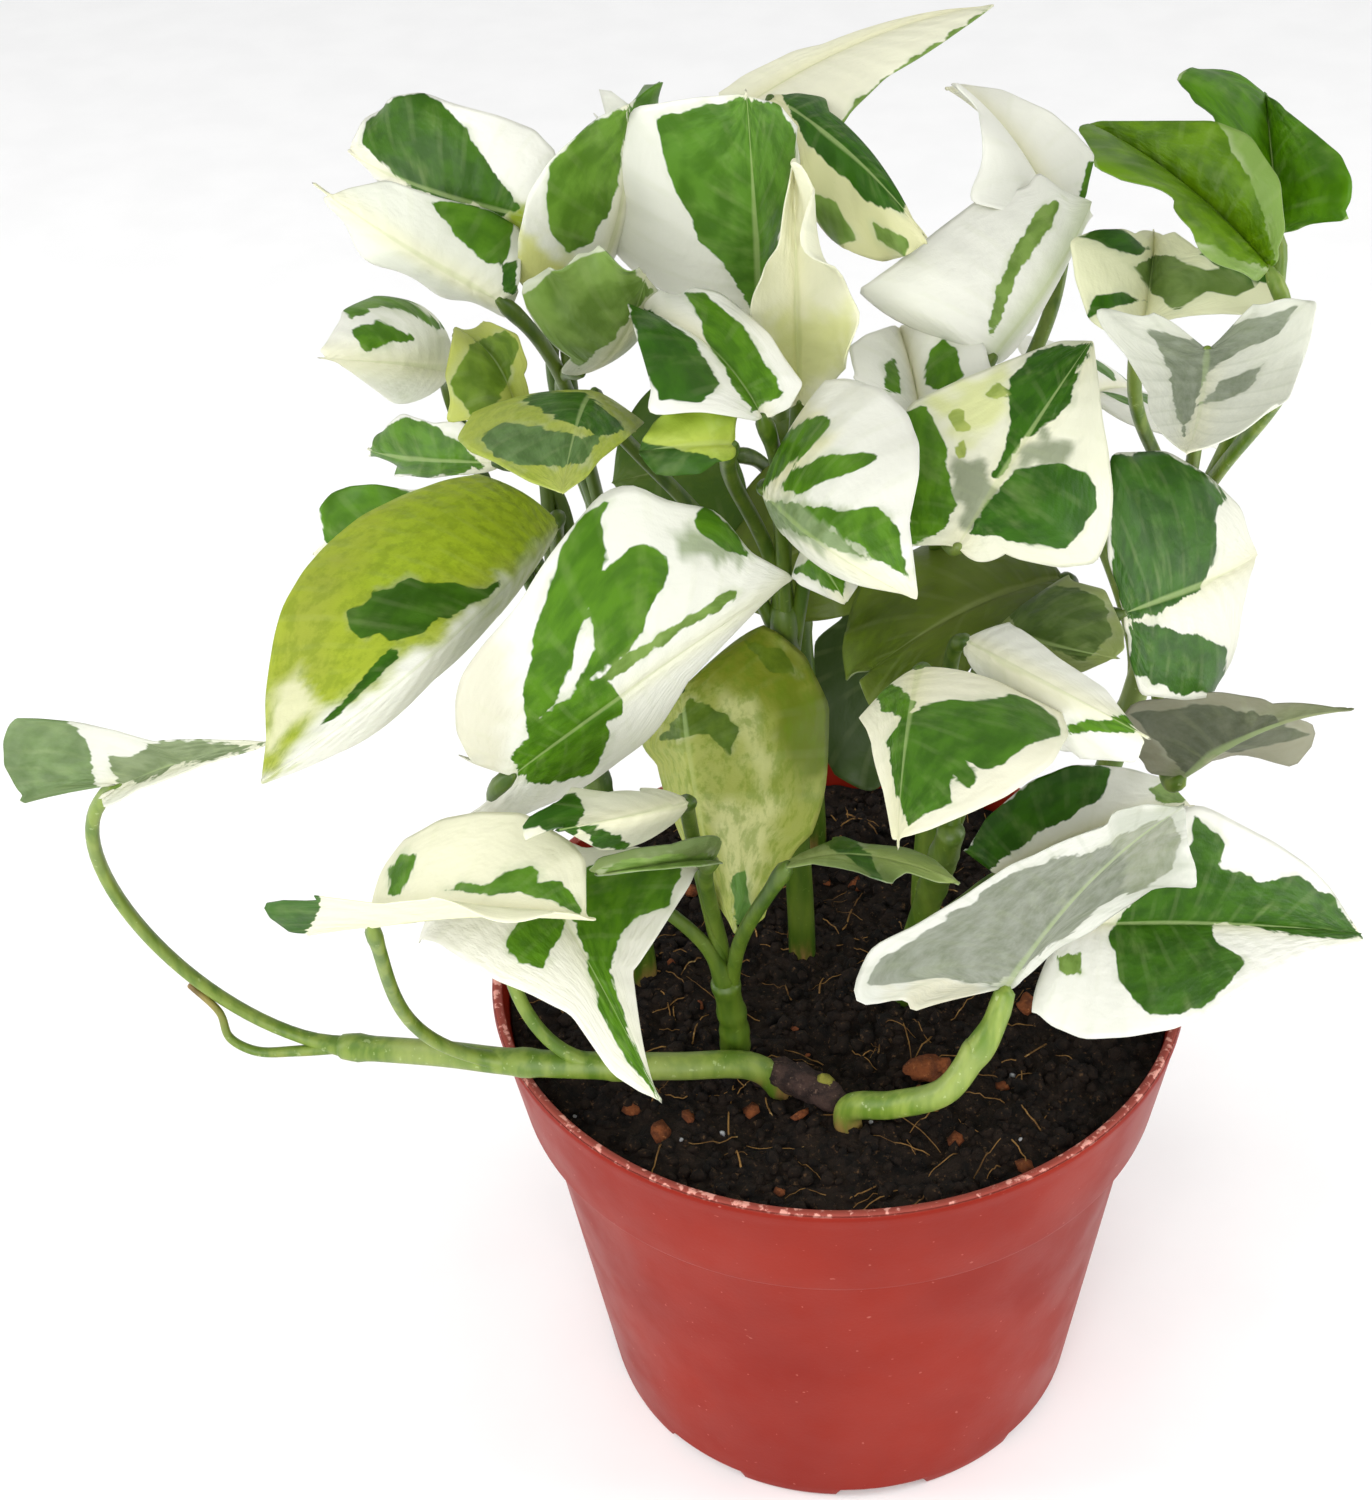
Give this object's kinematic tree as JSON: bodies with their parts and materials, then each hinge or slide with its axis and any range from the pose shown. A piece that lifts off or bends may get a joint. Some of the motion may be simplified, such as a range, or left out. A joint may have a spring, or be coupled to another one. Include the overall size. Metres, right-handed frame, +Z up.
{
  "type": "potted pothos plant",
  "caption": "Small variegated pothos with cream and green heart-shaped leaves on trailing vines, growing in a tapered round nursery pot filled with peat.",
  "frame": {"origin": "centre of the pot's flat base", "axes": "+Z up out of the pot, -Y towards the front, +X to the right"},
  "size_m": [0.2111, 0.1792, 0.241],
  "materials": {
    "pot_plastic": "satin",
    "peat": "matte",
    "stem_green": "satin",
    "leaf": "satin"
  },
  "bodies": {
    "root": {"leaf_back_1": "leaf", "leaf_back_2": "leaf", "leaf_back_3": "leaf", "leaf_back_4": "leaf", "leaf_back_5": "leaf", "leaf_back_left_1": "leaf", "leaf_back_left_2": "leaf", "leaf_back_left_3": "leaf", "leaf_back_left_4": "leaf", "leaf_back_right_1": "leaf", "leaf_back_right_2": "leaf", "leaf_back_right_3": "leaf", "leaf_back_right_4": "leaf", "leaf_back_right_5": "leaf", "leaf_back_right_6": "leaf", "leaf_centre_1": "leaf", "leaf_centre_2": "leaf", "leaf_centre_3": "leaf", "leaf_centre_4": "leaf", "leaf_centre_5": "leaf", "leaf_centre_6": "leaf", "leaf_centre_7": "leaf", "leaf_front_1": "leaf", "leaf_front_2": "leaf", "leaf_front_3": "leaf", "leaf_front_4": "leaf", "leaf_front_right_1": "leaf", "leaf_front_right_2": "leaf", "leaf_front_right_3": "leaf", "leaf_front_right_4": "leaf", "leaf_front_right_5": "leaf", "leaf_front_right_6": "leaf", "leaf_left_1": "leaf", "leaf_left_2": "leaf", "leaf_left_3": "leaf", "leaf_left_4": "leaf", "leaf_left_5": "leaf", "leaf_low_right_1": "leaf", "leaf_middle_right_1": "leaf", "leaf_middle_right_2": "leaf", "leaf_middle_right_3": "leaf", "leaf_middle_right_4": "leaf", "leaf_middle_right_5": "leaf", "leaf_middle_right_6": "leaf", "leaf_trailing_1": "leaf", "leaf_trailing_2": "leaf", "leaf_trailing_3": "leaf", "peat": "peat", "pot": "pot_plastic", "vine_back": "stem_green", "vine_back_left": "stem_green", "vine_back_right": "stem_green", "vine_centre": "stem_green", "vine_front": "stem_green", "vine_front_right": "stem_green", "vine_left": "stem_green", "vine_low_right": "stem_green", "vine_middle_right": "stem_green", "vine_trailing": "stem_green"}
  },
  "joints": []
}
